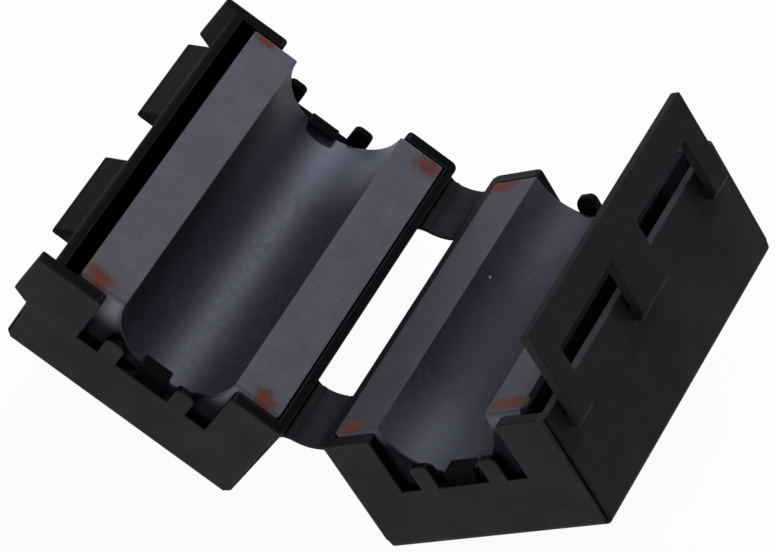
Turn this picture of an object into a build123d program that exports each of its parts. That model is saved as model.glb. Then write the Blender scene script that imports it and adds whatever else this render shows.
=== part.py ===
from build123d import *
import os
from math import cos, radians, sin, tan

os.makedirs("parts", exist_ok=True)

# Millimetres. The halves stand open in a V on their lower hinge side edges.
# In each half, u runs outward from the hinge side wall, y along the hinge and w up from the rim.

# Case
case_length = 36.0
tray_width = 24.1
tray_height = 12.0
wall = 0.95
end_wall = 1.15
floor_thickness = 1.2
draft_deg = 1.0
corner_radius = 0.7
base_radius = 0.45
fold_deg = 59.5
hinge_offset = 1.8

# Ferrite half cores
bore_radius = 5.7
core_lift = 0.2
core_side_gap = 0.15
core_outer_gap = 1.45
core_end_gap = 0.1
core_floor_gap = 0.1
core_corner_radius = 1.2
core_bevel = 0.3
core_meeting_gap = 0.2

# Cable openings in the end walls, with two fingers and a hook each
opening_width = 13.4
opening_depth = 5.9
finger_width = 1.9
finger_height = 2.5
finger_spread = 7.3
finger_radius = 0.6
finger_bevel = 0.4
hook_width = 2.9
hook_shift = 0.35
hook_step = 0.3
hook_slope = 0.7
hook_root = 0.4
hook_reach = 1.0
hook_clearance = 0.25
hook_nose = 0.3

# Ears and barbs on the catch tray
ear_reach = 1.25
ear_flare = 0.2
ear_height = 6.1
ear_bevel = 0.75
barb_length = 10.1
barb_reach = 1.7
barb_start = 0.9
barb_face = 0.45
catch_clearance = 0.25

# Latch plate
plate_gap = 0.25
plate_thickness = 1.0
plate_rise = 6.85
leg_drop = 3.0
bar_height = 3.3
window_clearance = 0.25
mid_leg_width = 5.2
plate_end_clearance = 1.05
leg_bevel = 0.65
plate_edge_radius = 0.2

# Living hinge straps
strap_root = 0.5
strap_waist = 0.3
strap_drop = 0.75
strap_sag = 0.7
strap_length = 6.55
strap_inset = 1.05
strap_clearance = 0.12

# How far a cut runs past the surface it opens
overrun = 1.0

lean = radians(fold_deg / 2)
draft = radians(draft_deg)
half_length = case_length / 2

# The hinge axis lies midway between the core faces of the closed case
axis_rise = core_lift + core_meeting_gap / 2

# Lowest point of the rounded hinge side edge that each half stands on
foot_u = (base_radius + (tray_height - base_radius) * sin(draft)) / cos(draft)
foot_w = base_radius - tray_height
foot_drop = (foot_w - axis_rise) * cos(lean) + (hinge_offset + foot_u) * sin(lean) - base_radius
axis_height = -foot_drop

axis_point = Vector(0, 0, axis_height)
catch_out = Vector(-cos(lean), 0, sin(lean))
catch_up = Vector(sin(lean), 0, cos(lean))
latch_out = Vector(cos(lean), 0, sin(lean))
latch_up = Vector(-sin(lean), 0, cos(lean))
catch_rim = axis_point + catch_out * hinge_offset - catch_up * axis_rise
latch_rim = axis_point + latch_out * hinge_offset - latch_up * axis_rise

# Rim planes look up out of each tray, section planes along the hinge, wall planes outward
catch_top = Plane(origin=catch_rim, x_dir=catch_out, z_dir=catch_up)
latch_top = Plane(origin=latch_rim, x_dir=latch_out, z_dir=latch_up)
catch_base = Plane(origin=catch_rim, x_dir=catch_out, z_dir=-catch_up)
latch_base = Plane(origin=latch_rim, x_dir=latch_out, z_dir=-latch_up)
catch_section = Plane(origin=catch_rim, x_dir=catch_out, z_dir=catch_out.cross(catch_up))
latch_section = Plane(origin=latch_rim, x_dir=latch_out, z_dir=latch_out.cross(latch_up))
catch_wall = Plane(origin=catch_rim, x_dir=catch_up.cross(catch_out), z_dir=catch_out)
latch_wall = Plane(origin=latch_rim, x_dir=latch_up.cross(latch_out), z_dir=latch_out)

# Core and pocket; the core sits against the hinge side
pocket_width = tray_width - 2 * wall
core_width = pocket_width - core_side_gap - core_outer_gap
core_start = wall + core_side_gap
core_middle = core_start + core_width / 2
core_length = case_length - 2 * (end_wall + core_end_gap)
core_height = tray_height - floor_thickness - core_floor_gap + core_lift
core_centre_w = core_lift - core_height / 2
pocket_length = case_length - 2 * end_wall
pocket_depth = tray_height - floor_thickness
tray_middle = tray_width / 2

# Fingers and hooks stand on the lower edge of the opening
opening_floor = -opening_depth
opening_centre_w = (overrun - opening_depth) / 2
finger_run = finger_height + finger_width
finger_reach = finger_spread / 2
finger_tip_w = opening_floor + finger_height
finger_centre_w = finger_tip_w - finger_run / 2
wall_inside = half_length - end_wall
hook_middle = tray_middle - hook_shift
hook_edge = abs(hook_middle - core_middle) + hook_width / 2
bore_rest_w = core_lift - (bore_radius**2 - hook_edge**2) ** 0.5
hook_under_w = bore_rest_w + hook_clearance
hook_top_w = hook_under_w + hook_nose
hook_inner = wall_inside - core_end_gap - hook_reach
hook_outer = half_length - hook_step
hook_crest = hook_outer - hook_slope
hook_foot_w = opening_floor - hook_root

# Barbs sit in the windows of the closed latch, just above its bar
closed_turn = 2 * axis_rise
window_head = plate_rise - bar_height
barb_foot = closed_turn - window_head + catch_clearance
barb_front = barb_foot + barb_face
barb_tip = tray_width + barb_reach
window_width = barb_length + 2 * window_clearance
window_middle = (mid_leg_width + window_width) / 2
plate_length = case_length - 2 * (end_wall + plate_end_clearance)
plate_height = plate_rise + leg_drop
plate_centre_w = (plate_rise - leg_drop) / 2
window_cut = window_head + leg_drop + overrun
window_centre_w = window_head - window_cut / 2
plate_inside = tray_width + plate_gap

ear_low_reach = ear_reach + ear_flare
ear_width = wall + ear_low_reach + ear_flare
ear_middle = tray_width - wall + ear_width / 2
ear_y = half_length - end_wall / 2
barb_root = tray_width - wall / 2
strap_start = half_length - strap_inset - strap_length
strap_y = strap_start + strap_length / 2


# Catch tray, left in the photo
with BuildPart() as catch_tray:
    with BuildSketch(catch_base) as catch_outline:
        with Locations((tray_middle, 0)):
            RectangleRounded(tray_width, case_length, corner_radius)
    extrude(amount=tray_height, taper=draft_deg)
    catch_bottom = catch_tray.faces().sort_by(Axis(catch_rim, -catch_up))[-1]
    fillet(catch_bottom.edges(), base_radius)
    with BuildSketch(catch_base) as catch_ears:
        with Locations((ear_middle, ear_y), (ear_middle, -ear_y)):
            Rectangle(ear_width, end_wall)
    extrude(amount=ear_height, taper=draft_deg)
    with BuildSketch(catch_section) as ear_slope:
        with BuildLine():
            Polyline(
                (tray_width, -ear_height),
                (tray_width + ear_low_reach, ear_bevel - ear_height),
                (tray_width + ear_reach, 0),
                (tray_width + ear_reach, overrun),
                (tray_width + ear_width, overrun),
                (tray_width + ear_width, -ear_height - overrun),
                (tray_width, -ear_height - overrun),
                close=True,
            )
        make_face()
    extrude(amount=half_length + overrun, both=True, mode=Mode.SUBTRACT)
    with BuildSketch(catch_section.offset(window_middle), catch_section.offset(-window_middle)) as barbs:
        with BuildLine():
            Polyline(
                (barb_root, -barb_start),
                (tray_width, -barb_start),
                (barb_tip, barb_front),
                (barb_tip, barb_foot),
                (barb_root, barb_foot),
                close=True,
            )
        make_face()
    extrude(amount=barb_length / 2, both=True)
    with BuildSketch(catch_top.offset(overrun)) as catch_pocket:
        with Locations((tray_middle, 0)):
            Rectangle(pocket_width, pocket_length)
    extrude(amount=-(pocket_depth + overrun), mode=Mode.SUBTRACT)
    with BuildSketch(catch_section) as catch_openings:
        with Locations((tray_middle, opening_centre_w)):
            Rectangle(opening_width, opening_depth + overrun)
        with Locations((tray_middle - finger_reach, finger_centre_w), (tray_middle + finger_reach, finger_centre_w)):
            RectangleRounded(finger_width, finger_run, finger_radius, mode=Mode.SUBTRACT)
    extrude(amount=half_length + overrun, both=True, mode=Mode.SUBTRACT)
    with BuildSketch(catch_wall.offset(tray_middle)) as catch_finger_bevels:
        with BuildLine():
            Polyline(
                (wall_inside - overrun, finger_tip_w + overrun),
                (wall_inside + finger_bevel, finger_tip_w + overrun),
                (wall_inside + finger_bevel, finger_tip_w),
                (wall_inside, finger_tip_w - 2 * finger_bevel),
                (wall_inside - overrun, finger_tip_w - 2 * finger_bevel),
                close=True,
            )
        make_face()
        mirror(about=Plane.YZ)
    extrude(amount=opening_width / 2, both=True, mode=Mode.SUBTRACT)
    with BuildSketch(catch_wall.offset(hook_middle)) as catch_hooks:
        with BuildLine():
            Polyline(
                (hook_outer, hook_foot_w),
                (hook_outer, opening_floor),
                (hook_crest, hook_top_w),
                (hook_inner, hook_top_w),
                (hook_inner, hook_under_w),
                (wall_inside, hook_under_w),
                (wall_inside, hook_foot_w),
                close=True,
            )
        make_face()
        mirror(about=Plane.YZ)
    extrude(amount=hook_width / 2, both=True)
catch_tray.part.label = "catch_tray"
export_step(catch_tray.part, "parts/catch_tray.step")


# Latch tray, right in the photo
with BuildPart() as latch_tray:
    with BuildSketch(latch_base) as latch_outline:
        with Locations((tray_middle, 0)):
            RectangleRounded(tray_width, case_length, corner_radius)
    extrude(amount=tray_height, taper=draft_deg)
    latch_bottom = latch_tray.faces().sort_by(Axis(latch_rim, -latch_up))[-1]
    fillet(latch_bottom.edges(), base_radius)
    with BuildSketch(latch_top.offset(overrun)) as latch_pocket:
        with Locations((tray_middle, 0)):
            Rectangle(pocket_width, pocket_length)
    extrude(amount=-(pocket_depth + overrun), mode=Mode.SUBTRACT)
    with BuildSketch(latch_section) as latch_openings:
        with Locations((tray_middle, opening_centre_w)):
            Rectangle(opening_width, opening_depth + overrun)
        with Locations((tray_middle - finger_reach, finger_centre_w), (tray_middle + finger_reach, finger_centre_w)):
            RectangleRounded(finger_width, finger_run, finger_radius, mode=Mode.SUBTRACT)
    extrude(amount=half_length + overrun, both=True, mode=Mode.SUBTRACT)
    with BuildSketch(latch_wall.offset(tray_middle)) as latch_finger_bevels:
        with BuildLine():
            Polyline(
                (wall_inside - overrun, finger_tip_w + overrun),
                (wall_inside + finger_bevel, finger_tip_w + overrun),
                (wall_inside + finger_bevel, finger_tip_w),
                (wall_inside, finger_tip_w - 2 * finger_bevel),
                (wall_inside - overrun, finger_tip_w - 2 * finger_bevel),
                close=True,
            )
        make_face()
        mirror(about=Plane.YZ)
    extrude(amount=opening_width / 2, both=True, mode=Mode.SUBTRACT)
    with BuildSketch(latch_wall.offset(hook_middle)) as latch_hooks:
        with BuildLine():
            Polyline(
                (hook_outer, hook_foot_w),
                (hook_outer, opening_floor),
                (hook_crest, hook_top_w),
                (hook_inner, hook_top_w),
                (hook_inner, hook_under_w),
                (wall_inside, hook_under_w),
                (wall_inside, hook_foot_w),
                close=True,
            )
        make_face()
        mirror(about=Plane.YZ)
    extrude(amount=hook_width / 2, both=True)
latch_tray.part.label = "latch_tray"
export_step(latch_tray.part, "parts/latch_tray.step")


# Latch plate: a bar on three legs, whose windows take the barbs
with BuildPart() as latch_plate:
    with BuildSketch(latch_wall.offset(plate_inside)) as plate_outline:
        with Locations((0, plate_centre_w)):
            Rectangle(plate_length, plate_height)
        with Locations((-window_middle, window_centre_w), (window_middle, window_centre_w)):
            Rectangle(window_width, window_cut, mode=Mode.SUBTRACT)
    extrude(amount=plate_thickness)
    plate_face = latch_plate.faces().sort_by(Axis(latch_rim, latch_out))[-1]
    leg_ends = plate_face.edges().filter_by(Axis.Y).group_by(Axis(latch_rim, latch_up))[0]
    chamfer(leg_ends, leg_bevel)
    plate_top = latch_plate.faces().sort_by(Axis(latch_rim, latch_up))[-1]
    fillet(plate_top.edges().filter_by(Axis.Y), plate_edge_radius)
latch_plate.part.label = "latch_plate"
export_step(latch_plate.part, "parts/latch_plate.step")


# Half cores
with BuildPart() as catch_core:
    with BuildSketch(catch_section) as catch_core_outline:
        with Locations((core_middle, core_centre_w)):
            Rectangle(core_width, core_height)
        core_corners = catch_core_outline.vertices().group_by(Axis.Y)[0]
        fillet(core_corners, core_corner_radius)
        with Locations((core_middle, core_lift)):
            Circle(bore_radius, mode=Mode.SUBTRACT)
    extrude(amount=core_length / 2, both=True)
    catch_core_ends = catch_core.faces().filter_by(Plane.XZ)
    chamfer(catch_core_ends.edges(), core_bevel)
catch_core.part.label = "catch_core"
export_step(catch_core.part, "parts/catch_core.step")

with BuildPart() as latch_core:
    with BuildSketch(latch_section) as latch_core_outline:
        with Locations((core_middle, core_centre_w)):
            Rectangle(core_width, core_height)
        core_corners = latch_core_outline.vertices().group_by(Axis.Y)[0]
        fillet(core_corners, core_corner_radius)
        with Locations((core_middle, core_lift)):
            Circle(bore_radius, mode=Mode.SUBTRACT)
    extrude(amount=core_length / 2, both=True)
    latch_core_ends = latch_core.faces().filter_by(Plane.XZ)
    chamfer(latch_core_ends.edges(), core_bevel)
latch_core.part.label = "latch_core"
export_step(latch_core.part, "parts/latch_core.step")


# Hinge straps: thin sagging sheets from wall to wall, fast to the catch tray
strap_foot = strap_drop + strap_root
catch_strap_top = catch_rim + catch_out * (strap_drop * tan(draft)) - catch_up * strap_drop
catch_strap_foot = catch_rim + catch_out * (strap_foot * tan(draft)) - catch_up * strap_foot
latch_strap_top = latch_rim + latch_out * (strap_drop * tan(draft) - strap_clearance) - latch_up * strap_drop
latch_strap_foot = latch_rim + latch_out * (strap_foot * tan(draft) - strap_clearance) - latch_up * strap_foot
strap_mid_z = catch_strap_top.Z - strap_sag
with BuildPart() as hinge_straps:
    with BuildSketch(Plane.XZ.offset(strap_y), Plane.XZ.offset(-strap_y)) as strap_section:
        with BuildLine():
            ThreePointArc(
                (catch_strap_top.X, catch_strap_top.Z),
                (0, strap_mid_z),
                (latch_strap_top.X, latch_strap_top.Z),
            )
            Line((latch_strap_top.X, latch_strap_top.Z), (latch_strap_foot.X, latch_strap_foot.Z))
            ThreePointArc(
                (latch_strap_foot.X, latch_strap_foot.Z),
                (0, strap_mid_z - strap_waist),
                (catch_strap_foot.X, catch_strap_foot.Z),
            )
            Line((catch_strap_foot.X, catch_strap_foot.Z), (catch_strap_top.X, catch_strap_top.Z))
        make_face()
    extrude(amount=strap_length / 2, both=True)
hinge_straps.part.label = "hinge_straps"
export_step(hinge_straps.part, "parts/hinge_straps.step")
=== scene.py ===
from math import cos, pi, radians, sin, tan

import bmesh
import bpy
from mathutils import Matrix, Vector


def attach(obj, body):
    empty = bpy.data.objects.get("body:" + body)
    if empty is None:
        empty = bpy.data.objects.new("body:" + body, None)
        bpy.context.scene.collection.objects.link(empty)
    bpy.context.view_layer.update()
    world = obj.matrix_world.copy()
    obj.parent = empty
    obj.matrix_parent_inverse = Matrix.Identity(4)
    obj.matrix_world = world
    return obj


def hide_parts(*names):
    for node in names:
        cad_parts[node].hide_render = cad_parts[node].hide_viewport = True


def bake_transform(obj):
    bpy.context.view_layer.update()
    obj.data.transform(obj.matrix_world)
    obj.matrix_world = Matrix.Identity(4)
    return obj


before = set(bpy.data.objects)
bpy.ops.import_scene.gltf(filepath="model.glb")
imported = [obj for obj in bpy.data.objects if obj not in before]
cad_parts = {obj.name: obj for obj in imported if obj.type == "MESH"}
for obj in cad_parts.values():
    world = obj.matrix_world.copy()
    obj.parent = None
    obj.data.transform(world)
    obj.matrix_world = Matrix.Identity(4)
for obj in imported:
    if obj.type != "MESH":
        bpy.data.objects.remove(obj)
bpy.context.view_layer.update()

scene = bpy.context.scene
scene.view_settings.view_transform = "Standard"

MM = 0.001

# Sizes of the case that the looks follow, in millimetres, and its angles
HALF_LENGTH = 18.0
TRAY_WIDTH = 24.1
TRAY_HEIGHT = 12.0
BASE_RADIUS = 0.45
HINGE_OFFSET = 1.8
AXIS_RISE = 0.3
CORE_LIFT = 0.2
LEAN = radians(59.5 / 2)
DRAFT_ANGLE = radians(1.0)
DRAFT = tan(DRAFT_ANGLE)

# The open case stands on the rounded lower edges of its hinge walls, which sets the axis's height
FOOT_OUT = (BASE_RADIUS + (TRAY_HEIGHT - BASE_RADIUS) * sin(DRAFT_ANGLE)) / cos(DRAFT_ANGLE)
FOOT_DROP = TRAY_HEIGHT - BASE_RADIUS + AXIS_RISE
AXIS_ABOVE_FOOT = FOOT_DROP * cos(LEAN) - (HINGE_OFFSET + FOOT_OUT) * sin(LEAN)
AXIS_DIGITS = 7  # decimals that the axis's height is rounded to
AXIS_HEIGHT = round(AXIS_ABOVE_FOOT + BASE_RADIUS, AXIS_DIGITS)


def latch_point(u, y, w):
    """A point of the latch half in metres: u out from its hinge wall, y along, w above its rim."""
    x = (HINGE_OFFSET + u) * cos(LEAN) - (w - AXIS_RISE) * sin(LEAN)
    z = AXIS_HEIGHT + (HINGE_OFFSET + u) * sin(LEAN) + (w - AXIS_RISE) * cos(LEAN)
    return Vector((x * MM, y * MM, z * MM))


def catch_point(u, y, w):
    """The same point of the catch half, which mirrors the latch half."""
    point = latch_point(u, y, w)
    return Vector((-point.x, point.y, point.z))


def half_place(point):
    """The u and w, in millimetres, of a point in metres on either half."""
    across, up = abs(point.x) / MM, point.z / MM - AXIS_HEIGHT
    u = across * cos(LEAN) + up * sin(LEAN) - HINGE_OFFSET
    w = up * cos(LEAN) - across * sin(LEAN) + AXIS_RISE
    return u, w


# Camera, at the photo's viewing angle
CAMERA_PLACE = Vector((128.56, -248.87, 289.14)) * MM
CAMERA_RIGHT = Vector((0.905, 0.42351, -0.04015))
CAMERA_DOWN = Vector((0.27169, -0.64803, -0.71151))
CAMERA_AHEAD = Vector((-0.32735, 0.63301, -0.70153))
SENSOR = 36.0
FOCAL_PIXELS = 4571.6
PHOTO_WIDTH = 776
NEAREST, FARTHEST = 0.01, 20.0

camera_data = bpy.data.cameras.new("camera")
camera_data.sensor_fit = "HORIZONTAL"
camera_data.sensor_width = SENSOR
camera_data.lens = FOCAL_PIXELS * SENSOR / PHOTO_WIDTH
camera_data.clip_start = NEAREST
camera_data.clip_end = FARTHEST
camera = bpy.data.objects.new("camera", camera_data)
scene.collection.objects.link(camera)
camera_turn = Matrix((CAMERA_RIGHT, -CAMERA_DOWN, -CAMERA_AHEAD)).transposed()
camera.matrix_world = Matrix.Translation(CAMERA_PLACE) @ camera_turn.to_4x4()
scene.camera = camera


# Wires, which build the node trees of the finishes
MIX_FIRST, MIX_SECOND, MIX_RESULT = 6, 7, 2  # the colour sockets of a Mix node
NOISE_LOW, NOISE_HIGH = 0.3, 0.7  # the range that a noise mostly keeps to


class Wire:
    """A socket of a node tree. Sums of wires add Math nodes, and node() adds any other node."""

    def __init__(self, tree, socket=None):
        self.tree = tree
        self.socket = socket

    def node(self, kind, settings=None, inputs=None, out=0):
        made = self.tree.nodes.new("ShaderNode" + kind)
        for key, value in (settings or {}).items():
            setattr(made, key, value)
        for key, value in (inputs or {}).items():
            if isinstance(value, Wire):
                self.tree.links.new(value.socket, made.inputs[key])
            else:
                made.inputs[key].default_value = value
        return Wire(self.tree, made.outputs[out] if made.outputs else None)

    def math(self, operation, *values):
        return self.node("Math", {"operation": operation}, dict(enumerate(values)))

    def vector(self, operation, *values, out="Vector"):
        return self.node("VectorMath", {"operation": operation}, dict(enumerate(values)), out)

    def __add__(self, other):
        return self.math("ADD", self, other)

    __radd__ = __add__

    def __mul__(self, other):
        return self.math("MULTIPLY", self, other)

    __rmul__ = __mul__

    def __sub__(self, other):
        return self.math("SUBTRACT", self, other)

    def __rsub__(self, other):
        return self.math("SUBTRACT", other, self)

    def most(self, other):
        return self.math("MAXIMUM", self, other)

    def ramp(self, low, high, start=0.0, end=1.0):
        """Goes smoothly from start to end as this value goes from low to high."""
        inputs = {"Value": self, "From Min": low, "From Max": high, "To Min": start, "To Max": end}
        return self.node("MapRange", {"interpolation_type": "SMOOTHSTEP"}, inputs)

    def fade(self, low, high):
        """Goes smoothly from 1 to 0 as this value goes from low to high."""
        return self.ramp(low, high, 1.0, 0.0)

    def spread(self, start=0.0, end=1.0):
        """Goes smoothly from start to end over the usual range of a noise."""
        return self.ramp(NOISE_LOW, NOISE_HIGH, start, end)

    def mixed(self, first, second):
        """A colour between first and second, by this value."""
        inputs = {"Factor": self, MIX_FIRST: first, MIX_SECOND: second}
        return self.node("Mix", {"data_type": "RGBA"}, inputs, MIX_RESULT)

    def shaded(self, first, second):
        """A shader between first and second, by this value."""
        return self.node("MixShader", None, {0: self, 1: first, 2: second})


def new_finish(name):
    """An empty material and a wire to build it with."""
    finish = bpy.data.materials.new(name)
    finish.use_nodes = True
    finish.node_tree.nodes.clear()
    return finish, Wire(finish.node_tree)


def grey(value, blue=1.0):
    return (value, value, value * blue, 1.0)


def object_place(wire):
    return wire.node("TexCoord", None, None, "Object")


def stretched(wire, place, scale, turn=(0.0, 0.0, 0.0)):
    return wire.node("Mapping", None, {"Vector": place, "Rotation": turn, "Scale": scale})


def noise(wire, place, scale, detail=2.0, roughness=0.5):
    inputs = {"Vector": place, "Scale": scale, "Detail": detail, "Roughness": roughness}
    return wire.node("TexNoise", None, inputs)


DOT_CORE = 0.6  # share of a dot's radius that it fills before it fades
CHOICE_STEP = 0.001  # keeps the choice between a cell with a dot and one without sharp


def specks(wire, place, scale, share, radius):
    """Scattered dots: this share of the cells have one, and the radius is in cells."""
    inputs = {"Vector": place, "Scale": scale}
    distance = wire.node("TexVoronoi", None, inputs, "Distance")
    cell = wire.node("TexVoronoi", None, inputs, "Color")
    draw = wire.node("SeparateColor", None, {"Color": cell})
    chosen = draw.ramp(1 - share, 1 - share + CHOICE_STEP)
    return distance.fade(radius * DOT_CORE, radius) * chosen


def part_of(wire, place, axis):
    """One part of a place, in millimetres and without its sign."""
    value = wire.node("SeparateXYZ", None, {"Vector": place}, axis)
    return wire.math("ABSOLUTE", value) * (1 / MM)


def rim_height(wire, place):
    """How far a point is above the rim of the half that it is on, in millimetres."""
    across, up = part_of(wire, place, "X"), part_of(wire, place, "Z")
    return up * cos(LEAN) - across * sin(LEAN) - (AXIS_HEIGHT * cos(LEAN) - AXIS_RISE)


def wall_distance(wire, place):
    """How far a point is outward from the hinge wall of the half that it is on, in millimetres."""
    across, up = part_of(wire, place, "X"), part_of(wire, place, "Z")
    return across * cos(LEAN) + up * sin(LEAN) - (AXIS_HEIGHT * sin(LEAN) + HINGE_OFFSET)


GRAIN_DEPTH = 0.012  # millimetres


def bumped(wire, relief, strength):
    inputs = {"Strength": strength, "Distance": GRAIN_DEPTH * MM, "Height": relief}
    return wire.node("Bump", None, inputs)


def principled(wire, colour, roughness, bump, ior, tint=grey(1.0)):
    inputs = {"Base Color": colour, "Roughness": roughness, "Normal": bump, "IOR": ior}
    return wire.node("BsdfPrincipled", None, {**inputs, "Specular Tint": tint})


# Plastic, with lengths in millimetres
SKIN_START, SKIN_END = 0.1, 0.17  # how far from the plane of an outer wall the smooth faces start
FLOOR_BLEND = 0.6  # how far above the base the smooth faces are whole
BARBS_END, EARS_START = 16.4, 16.5  # along the hinge
RIM_START, RIM_END = -0.1, -0.04  # height over which the walls' finish turns into the rim's
RIM_LIGHT_START, RIM_LIGHT_END = 1.1, 0.95  # how far in from the outer wall the painted highlight on the rim starts
STRAIN_START, STRAIN_END = 0.2, 1.5  # how far from the hinge axis the strain fades
WORN_REACH = 0.22  # how near to an edge the wear starts
WORN_NONE, WORN_ALL = 0.995, 0.86  # cosine of the turn between the flat and the rounded normal
STRAINED = (0.034, 0.037, 0.047, 1.0)
PAINTED_RIM_HIGHLIGHT = grey(0.036, 1.06)
PALE_DUST = grey(0.3)
GRAINED_IOR = 1.4
SLEEK_IOR = 1.12
SLEEK_ROUGH = 0.5


def inside_case(wire, place):
    """1 on a tray's inner walls, fingers, hooks and barbs, 0 on its drafted outer walls."""
    height, outward = rim_height(wire, place), wall_distance(wire, place)
    along = part_of(wire, place, "Y")
    drawn_in = height * DRAFT
    ends = (along - drawn_in).fade(HALF_LENGTH - SKIN_END, HALF_LENGTH - SKIN_START)
    outer = (outward - drawn_in).fade(TRAY_WIDTH - SKIN_END, TRAY_WIDTH - SKIN_START)
    hinge = (outward + drawn_in).ramp(SKIN_START, SKIN_END)
    floor = height.ramp(SKIN_START - TRAY_HEIGHT, FLOOR_BLEND - TRAY_HEIGHT)
    beyond = (outward - drawn_in).ramp(TRAY_WIDTH + SKIN_START, TRAY_WIDTH + SKIN_END)
    barbs = beyond * along.fade(BARBS_END, EARS_START)
    return (ends * outer * hinge * floor).most(barbs)


def moulded_plastic(
    name, shade, grain, rough, rim_share=0.0, rim_rough=0.5, rim_highlight=0.0, strain=0.0
):
    """Black nylon: mould grain outside, smooth rims and inner walls, worn edges, scuffs, dust.

    rim_share is 1 for a tray, whose rim and inner walls are smooth and get painted shade, and 0 for
    a piece without any. A tray's rim can also get a painted highlight along its outer part.
    """
    finish, wire = new_finish(name)
    place = object_place(wire)
    outward = wall_distance(wire, place)
    clouds = noise(wire, place, scale=220.0, detail=3.0)
    mottle = noise(wire, place, scale=1400.0, detail=3.0, roughness=0.6)
    fine = noise(wire, place, scale=5200.0)
    streaked = stretched(wire, place, scale=(7.0, 1.0, 7.0), turn=(0.3, 0.2, 0.7))
    scuffs = noise(wire, streaked, scale=260.0, detail=4.0, roughness=0.65)

    # Where the edges, the rim, the inner faces and the rim's painted highlight are
    rounded = wire.node("Bevel", {"samples": 6}, {"Radius": WORN_REACH * MM})
    flat = wire.node("NewGeometry", None, None, "Normal")
    turn = wire.vector("DOT_PRODUCT", rounded, flat, out="Value")
    marked = wire.node("Attribute", {"attribute_name": "rounded_edge"}, None, "Fac")
    edge = turn.ramp(WORN_NONE, WORN_ALL).most(marked)
    rim = rim_height(wire, place).ramp(RIM_START, RIM_END) * rim_share
    inner = inside_case(wire, place) * rim_share * (1 - rim)
    lit_rim = rim * outward.ramp(TRAY_WIDTH - RIM_LIGHT_START, TRAY_WIDTH - RIM_LIGHT_END) * rim_highlight

    # The grained outside, from its base colour, with painted shade and a painted highlight on the
    # rim, to the dust on it
    dark, pale = grey(shade * 0.8, 1.2), grey(shade * 1.2, 1.22)
    base = (clouds * 0.5 + mottle * 0.5).ramp(0.36, 0.64).mixed(dark, pale)
    worn = (edge * mottle.ramp(0.35, 0.6) * 0.5).mixed(base, grey(shade * 2.6, 1.05))
    scuffed = (scuffs.ramp(0.6, 0.76) * 0.4).mixed(worn, grey(shade * 2.2, 1.1))
    # Painted shade: the rim is darker than the grained faces, less so at its worn edges
    shaded_rim = (rim * (1 - edge * 0.35)).mixed(scuffed, grey(shade * 0.5, 1.25))
    # Painted highlight: a paler band along the outer part of the rim
    highlighted = (lit_rim * mottle.ramp(0.2, 0.6, 0.6, 1.0)).mixed(shaded_rim, PAINTED_RIM_HIGHLIGHT)
    folded = part_of(wire, place, "X").fade(STRAIN_START, STRAIN_END)
    crazed = (fine * 0.7 + mottle * 0.3).spread(0.3, 1.0)
    whitened = (folded * crazed * strain).mixed(highlighted, STRAINED)
    dust = specks(wire, place, scale=420.0, share=0.035, radius=0.05)
    colour = (dust * 0.75).mixed(whitened, PALE_DUST)
    texture = clouds.spread(rough - 0.05, rough + 0.05) + fine.spread(-0.03, 0.03)
    roughness = texture - (texture - rim_rough) * rim * (1 - edge) * (1 - lit_rim) + dust * 0.3
    relief = (fine + mottle * 0.5) * (1 - rim.most(inner) * 0.8)
    bump = bumped(wire, relief, grain)
    grained = principled(wire, colour, roughness, bump, GRAINED_IOR)

    # The smooth hooks, inner walls and barbs; the hooks and inner walls are darker with painted
    # shade
    hooks = clouds.spread().mixed(grey(shade * 0.2, 1.2), grey(shade * 0.4, 1.25))
    barbs = clouds.spread().mixed(grey(shade * 0.35, 1.25), grey(shade * 0.6, 1.3))
    plain = outward.ramp(TRAY_WIDTH, TRAY_WIDTH + SKIN_START).mixed(hooks, barbs)
    sleek = principled(wire, plain, SLEEK_ROUGH, bump, SLEEK_IOR)
    shader = (inner * (1 - edge * 0.3)).shaded(grained, sleek)
    wire.node("OutputMaterial", None, {"Surface": shader})
    return finish


# Ferrite, with lengths in millimetres
FACE_START, FACE_END = 0.06, 0.16  # height over which the bore's skin turns into the ground face
FACE_BLUR = 0.06  # half width of the soft edge between the ground face and the painted shadow band
END_START, END_END = 16.35, 16.5  # along the hinge, where the cores' end faces start
END_TOP = -0.2
# Painted shade on the end faces: where it starts along the hinge, and the height it blends over
END_SHADE_START, END_SHADE_END = 16.45, 16.6
END_SHADE_BLEND = 0.6
DULL_START, DULL_END = 3.0, 13.0  # along the bore, from its middle
MOUTH_START, MOUTH_END = 6.5, 15.5  # along the bore, where the painted light in its mouth gathers
MOUTH_LIGHT_START, MOUTH_LIGHT_END = 9.0, 13.5  # across the bore, where that painted light thins out
RAGGED = 1.6  # how far the outlines of the rust wander
RUST_FADE = 1.4  # where the rust ends, in sizes of a mark
BORE_DARK, BORE_PALE = (0.0078, 0.0084, 0.0122, 1.0), (0.0135, 0.0145, 0.02, 1.0)
BORE_FILM = (0.036, 0.038, 0.05, 1.0)
# Painted light in the bore's mouth
PAINTED_MOUTH_LIGHT = (0.12, 0.125, 0.15, 1.0)
PITS = (0.005, 0.005, 0.006, 1.0)
POWDER = grey(0.16, 1.08)
WHITE_DUST = grey(0.5)
RUST_PALE, RUST_DEEP = (0.125, 0.06, 0.045, 1.0), (0.18, 0.05, 0.024, 1.0)
# Painted shade, on the end faces and in the shadow band
PAINTED_SHADE = (0.0085, 0.009, 0.0125, 1.0)
FERRITE_TINT = (0.84, 0.87, 1.0, 1.0)
FERRITE_IOR = 1.85
GROUND_ROUGH = 0.7
RUST_IOR = 1.25
RUST_ROUGH = 0.9

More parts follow.
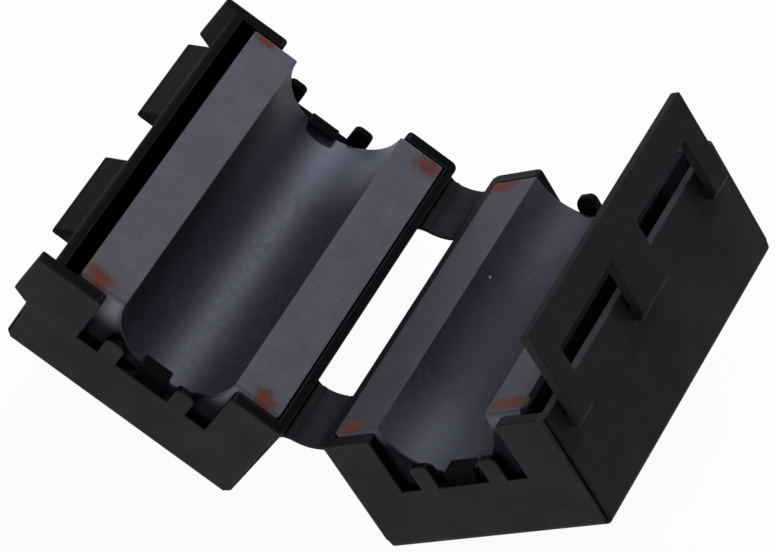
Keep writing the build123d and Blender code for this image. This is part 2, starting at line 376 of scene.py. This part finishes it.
# Rust marks at the cores' corners: u, y and half sizes on the face
CATCH_RUST = (
    (20.5, 16.3, 1.6, 1.0),
    (20.2, -15.8, 2.2, 1.3),
    (2.9, -16.1, 1.6, 1.4),
    (2.4, 15.5, 2.0, 1.3),
)
LATCH_RUST = (
    (2.4, 15.9, 2.0, 1.2),
    (2.6, -16.0, 1.9, 1.1),
    (19.2, -15.4, 2.1, 1.1),
    (18.4, 15.8, 1.6, 1.0),
)
# A white grain of dust in the latch half's bore: u, y, w and radius
LATCH_GRAINS = ((5.88, 4.49, -1.23, 0.16),)


def rust_near(wire, place, point, marks):
    """1 in the middle of a rust mark, 0 away from all of them, with ragged outlines."""
    inputs = {"Vector": place, "Scale": 800.0, "Detail": 3.0}
    drift = wire.node("TexNoise", None, inputs, "Color")
    shifted = wire.vector("MULTIPLY_ADD", drift, (RAGGED * MM,) * 3, place)
    rust = None
    for u, y, reach_u, reach_y in marks:
        centre = point(u, y, CORE_LIFT) + Vector((RAGGED / 2 * MM,) * 3)
        size = (1 / (reach_u * MM), 1 / (reach_y * MM), 1 / (reach_u * MM))
        scaled = wire.vector("MULTIPLY", wire.vector("SUBTRACT", shifted, centre), size)
        near = wire.vector("LENGTH", scaled, out="Value").fade(0.0, RUST_FADE)
        rust = near if rust is None else rust.most(near)
    return rust


def sintered_ferrite(
    name, point, rust_marks, shadow_band_from, shade, film, bore_rough, lit_end_depth, lit_mouth_end, mouth_light,
    dulled=0.0, grains=(),
):
    """Grey sintered ferrite: a ground meeting face, a darker dusty bore, rust at the corners.

    Past a given distance outward the ground face gives way to a dark band of painted shadow; film
    is how dusty the bore is; the end faces get painted light down to a given depth and painted
    shade below it; one end's mouth (1 or -1) gets painted light; and dulled is what the bore's
    middle gains in roughness, where its film also thins so that the middle is darker.
    """
    finish, wire = new_finish(name)
    place = object_place(wire)
    height, outward = rim_height(wire, place), wall_distance(wire, place)
    along = part_of(wire, place, "Y")
    blotches = noise(wire, place, scale=330.0, detail=4.0, roughness=0.62)
    mottle = noise(wire, place, scale=1500.0, detail=3.0, roughness=0.6)
    fine = noise(wire, place, scale=5600.0)
    grinding = noise(wire, stretched(wire, place, (14.0, 0.6, 14.0)), scale=320.0, detail=3.0)

    # Where the ground face, the painted shadow band, the end faces' painted light and shade, the
    # bore's middle and the painted light in its mouth are
    # Painted shadow: past this distance outward the core gets a dark, dull band instead of its
    # ground face
    painted_shadow_band = outward.ramp(shadow_band_from - FACE_BLUR, shadow_band_from + FACE_BLUR)
    meeting = height.ramp(FACE_START, FACE_END) * (1 - painted_shadow_band)
    # Painted light on the end faces' upper parts, down to a given depth, and painted shade below it
    painted_lit_end = along.ramp(END_START, END_END) * height.ramp(-lit_end_depth, END_TOP) * (1 - meeting)
    lower = height.fade(-lit_end_depth - END_SHADE_BLEND, -lit_end_depth / 2)
    painted_end_shade = along.ramp(END_SHADE_START, END_SHADE_END) * lower
    middle = along.ramp(DULL_START, DULL_END, dulled, 0.0)
    signed = wire.node("SeparateXYZ", None, {"Vector": place}, "Y") * lit_mouth_end
    # Painted light in one mouth of the bore, strongest towards the hinge side
    mouth = signed.ramp(MOUTH_START * MM, MOUTH_END * MM) * outward.fade(MOUTH_LIGHT_START, MOUTH_LIGHT_END)
    stain = rust_near(wire, place, point, rust_marks) * mottle.ramp(0.25, 0.65, 0.62, 1.0)
    rusted = stain.ramp(0.03, 0.85, 0.0, 0.95)

    # The bore with the painted light in its mouth, the end faces' painted light and the ground face
    skin = (mottle * 0.6 + blotches * 0.4).ramp(0.35, 0.65).mixed(BORE_DARK, BORE_PALE)
    filmed = mottle.ramp(0.48, 0.7) * blotches.ramp(0.4, 0.62) * film * (1 - middle * 4)
    dusty = filmed.mixed(skin, BORE_FILM)
    mouth_lit = mouth * mottle.ramp(0.2, 0.6, 0.7, 1.0) * mouth_light
    ends = painted_lit_end.mixed(mouth_lit.mixed(dusty, PAINTED_MOUTH_LIGHT), grey(shade * 1.5, 1.06))
    dark, pale = grey(shade * 0.86), grey(shade * 1.14, 1.02)
    face = (blotches * 0.6 + mottle * 0.4).ramp(0.35, 0.65).mixed(dark, pale)
    ground = (grinding.ramp(0.5, 0.75) * 0.3).mixed(face, grey(shade * 1.4, 1.06))
    surface = meeting.mixed(ends, ground)

    # Pits, powder and white dust on all of them
    pits = specks(wire, place, scale=900.0, share=0.06, radius=0.12)
    pitted = (pits * 0.6).mixed(surface, PITS)
    coarse = specks(wire, place, scale=1500.0, share=0.3, radius=0.2)
    small = specks(wire, place, scale=2600.0, share=0.25, radius=0.24)
    clumps = coarse.most(small) * blotches.ramp(0.5, 0.6) * film
    powdered = (clumps * 0.3).mixed(pitted, POWDER)
    dust = specks(wire, place, scale=300.0, share=0.03, radius=0.035)
    for u, y, w, radius in grains:
        reach = wire.vector("DISTANCE", place, point(u, y, w), out="Value")
        dust = dust.most(reach.fade(radius * DOT_CORE * MM, radius * MM))
    sprinkled = (dust * 0.8).mixed(powdered, WHITE_DUST)
    bore_texture = mottle.spread(bore_rough - 0.025, bore_rough + 0.025) + middle
    roughness = bore_texture + meeting * (GROUND_ROUGH - bore_texture) + dust * 0.2
    relief = fine + grinding * 0.6 + mottle * 0.35 - pits * 1.5 + stain * 0.6
    bump = bumped(wire, relief, 0.4)
    clean = principled(wire, sprinkled, roughness, bump, FERRITE_IOR, FERRITE_TINT)

    # Rust, and the painted shade on the end faces and on the shadow band, which are dull
    orange = stain.ramp(0.3, 0.9).mixed(RUST_PALE, RUST_DEEP)
    matt = rusted.ramp(0.0, 0.08).mixed(PAINTED_SHADE, orange)
    dull = principled(wire, matt, RUST_ROUGH, bump, RUST_IOR)
    shader = rusted.most(painted_end_shade).most(painted_shadow_band).shaded(clean, dull)
    wire.node("OutputMaterial", None, {"Surface": shader})
    return finish


CASE_LOOK = {"shade": 0.0062, "grain": 0.5, "rough": 0.78}
catch_plastic = moulded_plastic("catch_plastic", **CASE_LOOK, rim_share=1.0, rim_rough=0.17)
latch_plastic = moulded_plastic(
    "latch_plastic", **CASE_LOOK, rim_share=1.0, rim_rough=0.7, rim_highlight=1.0
)
clip_plastic = moulded_plastic("clip_plastic", **CASE_LOOK)
strap_plastic = moulded_plastic("strap_plastic", shade=0.0045, grain=0.6, rough=0.8, strain=0.5)
catch_ferrite = sintered_ferrite(
    "catch_ferrite", catch_point, CATCH_RUST, shadow_band_from=22.5, shade=0.088, film=0.35,
    bore_rough=0.6, lit_end_depth=3.6, lit_mouth_end=1, mouth_light=0.9,
)
# The latch core's tone is about half the catch core's: painted shade on the same ferrite
latch_ferrite = sintered_ferrite(
    "latch_ferrite", latch_point, LATCH_RUST, shadow_band_from=20.85, shade=0.045, film=0.8,
    bore_rough=0.68, lit_end_depth=1.4, lit_mouth_end=-1, mouth_light=0.3, dulled=0.1, grains=LATCH_GRAINS,
)


# Rounded copies of the CAD's pieces, with lengths in millimetres
TRAY_EDGE = 0.14
SOFT_EDGE = 0.4
CORE_EDGE = 0.07
PLATE_EDGE = 0.13
STRAP_EDGE = 0.07
WORN_RADIUS = 0.75  # of the trays' base edges, which have BASE_RADIUS in the CAD
EDGE_STEPS, SOFT_STEPS = 3, 4
ROUND_PROFILE = 0.5
FLAT_TURN = radians(0.5)  # faces that turn less are one face
CURVE_TURN = radians(24)  # more than between the steps of a curved face
SHARP_TURN = radians(50)
SAME_POINT = 0.002
TINY_EDGE, THIN_FACE = 0.03, 0.01
LEFTOVER = 0.0005
NEAR = 0.1
INSIDE_ENDS = 16.0  # along the hinge, between the barbs and the end walls
THROUGH_WALL = 0.8  # edges through an end wall are longer
MOUTH_FROM, MOUTH_TO = 4.0, 20.0  # u between which the cable openings lie
BARB_OUT = 0.4  # the barbs' outer edges stand further out than this
BARB_TOP = -0.5  # the barbs lie below this height


def is_soft(edge):
    """Whether a tray's edge is a rounder one: the top of an opening, or the outer end of a barb."""
    (u0, w0), (u1, w1) = (half_place(v.co) for v in edge.verts)
    y0, y1 = (abs(v.co.y) / MM for v in edge.verts)
    through = abs(y0 - y1) > THROUGH_WALL and min(y0, y1) > INSIDE_ENDS
    mouth = through and max(abs(w0), abs(w1)) < NEAR and MOUTH_FROM < u0 < MOUTH_TO
    upright = abs(y0 - y1) < NEAR and max(y0, y1) < INSIDE_ENDS
    return mouth or (upright and max(u0, u1) > TRAY_WIDTH + BARB_OUT)


def is_plain(edge):
    """Whether a tray's edge is an outward one, away from its base and its barbs."""
    places = [half_place(v.co) for v in edge.verts]
    base = min(w for u, w in places) < NEAR + WORN_RADIUS - TRAY_HEIGHT
    outer = max(u for u, w in places) > TRAY_WIDTH - NEAR
    between = all(abs(v.co.y) < INSIDE_ENDS * MM for v in edge.verts)
    barb = outer and between and max(w for u, w in places) < BARB_TOP
    return edge.is_convex and not base and not barb


def is_outward(edge):
    return edge.is_convex


def ease_base(bm, point):
    """Spread the small rounding around a tray's base to the larger one of a handled case."""
    spread = WORN_RADIUS / BASE_RADIUS
    reach = BASE_RADIUS * 1.04  # a little past the rounding's own vertices
    for vert in bm.verts:
        u, w = half_place(vert.co)
        above = w + TRAY_HEIGHT
        if above > reach:
            continue
        y = vert.co.y / MM
        w_new = above * spread - TRAY_HEIGHT
        drawn_in, drawn_new = -w * DRAFT, -w_new * DRAFT
        hinge_side, outer_side = u - drawn_in, TRAY_WIDTH - drawn_in - u
        end = HALF_LENGTH - drawn_in - abs(y)
        if hinge_side < reach:
            u = drawn_new + hinge_side * spread
        elif outer_side < reach:
            u = TRAY_WIDTH - drawn_new - outer_side * spread
        if end < reach:
            y = (HALF_LENGTH - drawn_new - end * spread) * (1 if y > 0 else -1)
        vert.co = point(u, y, w_new)


def merge_close(bm, apart, thin):
    """Merge the vertices that are less than this apart and take out faces that are this thin."""
    bmesh.ops.remove_doubles(bm, verts=bm.verts, dist=apart * MM)
    bmesh.ops.dissolve_degenerate(bm, dist=thin * MM, edges=bm.edges)


def bevel(bm, edges, radius, steps, clamp):
    """Round some edges and give back the new faces."""
    made = bmesh.ops.bevel(
        bm, geom=edges, offset=radius * MM, offset_type="OFFSET", segments=steps,
        profile=ROUND_PROFILE, affect="EDGES", clamp_overlap=clamp, material=-1,
    )
    return made["faces"]


def round_edges(bm, worn, chosen, radius, steps):
    """Round the chosen edges that aren't steps of a curved face, and mark the new faces."""
    paired = [e for e in bm.edges if len(e.link_faces) == 2]
    edges = [e for e in paired if e.calc_face_angle() > CURVE_TURN and chosen(e)]
    for face in bevel(bm, edges, radius, steps, clamp=False):
        face[worn] = 1.0


def rounded_node(node, radius, soft_radius=0.0, point=None):
    """A CAD node's mesh with rounded edges. Trays give a soft radius and their point function."""
    bm = bmesh.new()
    bm.from_mesh(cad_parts[node].data)
    worn = bm.faces.layers.float.new("rounded_edge")
    bmesh.ops.remove_doubles(bm, verts=bm.verts, dist=SAME_POINT * MM)
    if point:
        ease_base(bm, point)
    bmesh.ops.dissolve_limit(bm, angle_limit=FLAT_TURN, verts=bm.verts, edges=bm.edges)
    merge_close(bm, TINY_EDGE, THIN_FACE)
    if soft_radius:
        round_edges(bm, worn, is_soft, soft_radius, SOFT_STEPS)
        merge_close(bm, TINY_EDGE, THIN_FACE)
    round_edges(bm, worn, is_plain if point else is_outward, radius, EDGE_STEPS)
    if point:
        merge_close(bm, LEFTOVER, LEFTOVER)
    return bm


def finished(name, bm, finish):
    """A smooth shaded object whose flat faces stay flat beside their rounded edges."""
    for face in bm.faces:
        face.smooth = True
    mesh = bpy.data.meshes.new(name)
    bm.to_mesh(mesh)
    bm.free()
    piece = bpy.data.objects.new(name, mesh)
    scene.collection.objects.link(piece)
    mesh.materials.append(finish)
    mesh.set_sharp_from_angle(angle=SHARP_TURN)
    evened = piece.modifiers.new("evened", "WEIGHTED_NORMAL")
    evened.keep_sharp = True
    return piece


CATCH_EDGES = (TRAY_EDGE, SOFT_EDGE, catch_point)
LATCH_EDGES = (TRAY_EDGE, SOFT_EDGE, latch_point)
for node, piece_name, roundings, finish, slot, body in (
    ("catch_tray", "catch_case", CATCH_EDGES, catch_plastic, "case", "catch_half"),
    ("latch_tray", "latch_case", LATCH_EDGES, latch_plastic, "case", "latch_half"),
    ("catch_core", "catch_half_core", (CORE_EDGE,), catch_ferrite, "ferrite", "catch_half"),
    ("latch_core", "latch_half_core", (CORE_EDGE,), latch_ferrite, "ferrite", "latch_half"),
):
    piece = finished(piece_name, rounded_node(node, *roundings), finish)
    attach(piece, body)
    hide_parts(node)


# Latch plate, with the roots of its legs run into the wall
PLATE_GAP = 0.25
PLATE_INSIDE = TRAY_WIDTH + PLATE_GAP
LEG_FOOT = -3.0
ROOT_TOP = -1.5
ROOT_SINK = 0.35
LEGS = ((-14.5, 2.6), (0.0, 5.2), (14.5, 2.6))  # places along the hinge and widths
LEG_TRIM = 0.16

plate_bm = rounded_node("latch_plate", PLATE_EDGE)
root_turn = Matrix.Rotation(-LEAN, 4, "Y")
root_depth = PLATE_GAP + 2 * ROOT_SINK
root_height = ROOT_TOP - LEG_FOOT - LEG_TRIM
root_u, root_w = (PLATE_INSIDE + TRAY_WIDTH) / 2, (ROOT_TOP + LEG_FOOT + LEG_TRIM) / 2
for leg_y, leg_width in LEGS:
    size = Vector((root_depth, leg_width - LEG_TRIM, root_height)) * MM
    shift = Matrix.Translation(latch_point(root_u, leg_y, root_w))
    place = shift @ root_turn @ Matrix.Diagonal((*size, 1.0))
    bmesh.ops.create_cube(plate_bm, size=1.0, matrix=place)
latch_clip = finished("latch_clip", plate_bm, clip_plastic)
latch_point(PLATE_INSIDE, 0, -2.2)
latch_point(PLATE_INSIDE, 0, 0.6)
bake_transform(latch_clip)
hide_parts("latch_plate")


# Living hinge: two thin straps that sag from wall to wall
STRAP_REACH = 2.45
STRAP_LAND = 0.3  # length of the level part at each wall
STRAP_TOP = 9.51
STRAP_SAG = 0.7
STRAP_WAIST = 0.3
STRAP_ROOT = 0.46
STRAP_INSET = 1.05
STRAP_LENGTH = 6.55
STRAP_FLARE = 0.45
FLARE_START = 1.35
STRAP_CUTS = 47
RIDGES = ((-1.3, 0.09), (0.95, -0.06))  # places across the strap and heights
RIDGE_HALF = 0.16

hinge_bm = bmesh.new()
strap_middle = HALF_LENGTH - STRAP_INSET - STRAP_LENGTH / 2
for side in (-1, 1):
    size = Vector((2 * STRAP_REACH, STRAP_LENGTH, 1.0)) * MM
    place = Matrix.Translation((0, side * strap_middle * MM, 0)) @ Matrix.Diagonal((*size, 1.0))
    bmesh.ops.create_cube(hinge_bm, size=1.0, matrix=place)
    spans = [(e, abs(e.verts[0].co.x - e.verts[1].co.x)) for e in hinge_bm.edges]
    across = [e for e, span in spans if span > STRAP_REACH * MM]
    bmesh.ops.subdivide_edges(hinge_bm, edges=across, cuts=STRAP_CUTS, use_grid_fill=True)
for vert in hinge_bm.verts:
    x = vert.co.x / MM
    share = min(abs(x) / (STRAP_REACH - STRAP_LAND), 1.0)
    thickness = STRAP_WAIST + (STRAP_ROOT - STRAP_WAIST) * share**2
    ridge = sum(rise * max(0.0, 1 - ((x - at) / RIDGE_HALF) ** 2) for at, rise in RIDGES)
    top = STRAP_TOP - STRAP_SAG * (1 - share**2)
    vert.co.z = (top + ridge if vert.co.z > 0 else top - thickness) * MM
    flare = STRAP_FLARE * max(0.0, (abs(x) - FLARE_START) / (STRAP_REACH - FLARE_START)) ** 2
    middle = strap_middle * MM * (1 if vert.co.y > 0 else -1)
    vert.co.y += flare * MM * (1 if vert.co.y > middle else -1)
bmesh.ops.recalc_face_normals(hinge_bm, faces=hinge_bm.faces)
strap_rims = [e for e in hinge_bm.edges if e.calc_face_angle() > SHARP_TURN]
bevel(hinge_bm, strap_rims, STRAP_EDGE, EDGE_STEPS, clamp=True)
living_hinge = finished("living_hinge", hinge_bm, strap_plastic)
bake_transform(living_hinge)
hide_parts("hinge_straps")


# White background: a pale floor and a room, both white to the camera
WHITE = grey(1.0)
FLOOR_REACH = 6.0
FLOOR_SHADOW = 0.05  # how much of the shadows on the floor shows
FLOOR_MIRRORED, ROOM_MIRRORED = 1.0, 0.0  # how white each is in gloss
PAPER_DARK, PAPER_PALE = grey(0.86), grey(0.88)
ROOM_LIGHT = (0.29, 0.295, 0.34, 1.0)
ROOM_GLOSS = (0.06, 0.062, 0.075, 1.0)


def is_ray(wire, kind):
    return wire.node("LightPath", None, None, f"Is {kind} Ray")


def seen_rays(wire, mirrored):
    """How much of the white background a ray sees: all of it, or in gloss the mirrored share."""
    straight = is_ray(wire, "Camera").most(is_ray(wire, "Transmission"))
    return straight.most(is_ray(wire, "Glossy") * mirrored)


# The camera looks through the floor, so that a pose that swings below it still shows
floor_finish, wire = new_finish("floor_paper")
paper_grain = noise(wire, object_place(wire), scale=40.0)
paper_colour = paper_grain.spread().mixed(PAPER_DARK, PAPER_PALE)
paper = wire.node("BsdfDiffuse", None, {"Color": paper_colour})
glow = wire.node("Emission", None, {"Color": WHITE, "Strength": 1.0})
clear = wire.node("BsdfTransparent", None, {"Color": WHITE})
backing = is_ray(wire, "Camera").shaded(glow, clear)
shown = (seen_rays(wire, FLOOR_MIRRORED) * (1 - FLOOR_SHADOW)).shaded(paper, backing)
wire.node("OutputMaterial", None, {"Surface": shown})
floor_bm = bmesh.new()
bmesh.ops.create_grid(floor_bm, x_segments=1, y_segments=1, size=FLOOR_REACH)
floor_mesh = bpy.data.meshes.new("floor")
floor_bm.to_mesh(floor_mesh)
floor_bm.free()
floor_mesh.materials.append(floor_finish)
floor = bpy.data.objects.new("floor", floor_mesh)
scene.collection.objects.link(floor)

world = bpy.data.worlds.new("studio")
world.use_nodes = True
world.node_tree.nodes.clear()
wire = Wire(world.node_tree)
room = is_ray(wire, "Glossy").mixed(ROOM_LIGHT, ROOM_GLOSS)
room_shown = seen_rays(wire, ROOM_MIRRORED).mixed(room, WHITE)
background = wire.node("Background", None, {"Color": room_shown, "Strength": 1.0})
wire.node("OutputWorld", None, {"Surface": background})
scene.world = world


# Soft lights, with places and sizes in metres
TARGET = Vector((0.0, 0.0, 0.014))
COOL_WHITE = (0.975, 0.97, 1.1)


def soft_box(name, place, width, height, radiance):
    """An even light that faces the object. At a radiance of 1 its face would render white."""
    lamp_data = bpy.data.lights.new(name, "AREA")
    lamp_data.shape = "RECTANGLE"
    lamp_data.size = width
    lamp_data.size_y = height
    lamp_data.energy = radiance * pi * width * height
    lamp_data.color = COOL_WHITE
    lamp = bpy.data.objects.new(name, lamp_data)
    scene.collection.objects.link(lamp)
    lamp.location = place
    lamp.rotation_mode = "QUATERNION"
    lamp.rotation_quaternion = (TARGET - lamp.location).to_track_quat("-Z", "Y")


soft_box("key_box", (0.05, 0.40, 0.49), width=0.1, height=0.1, radiance=50.0)
soft_box("left_box", (-0.45, 0.47, 0.12), width=0.4, height=0.22, radiance=2.0)
soft_box("side_box", (-0.17, -0.385, 0.11), width=0.12, height=0.2, radiance=5.6)
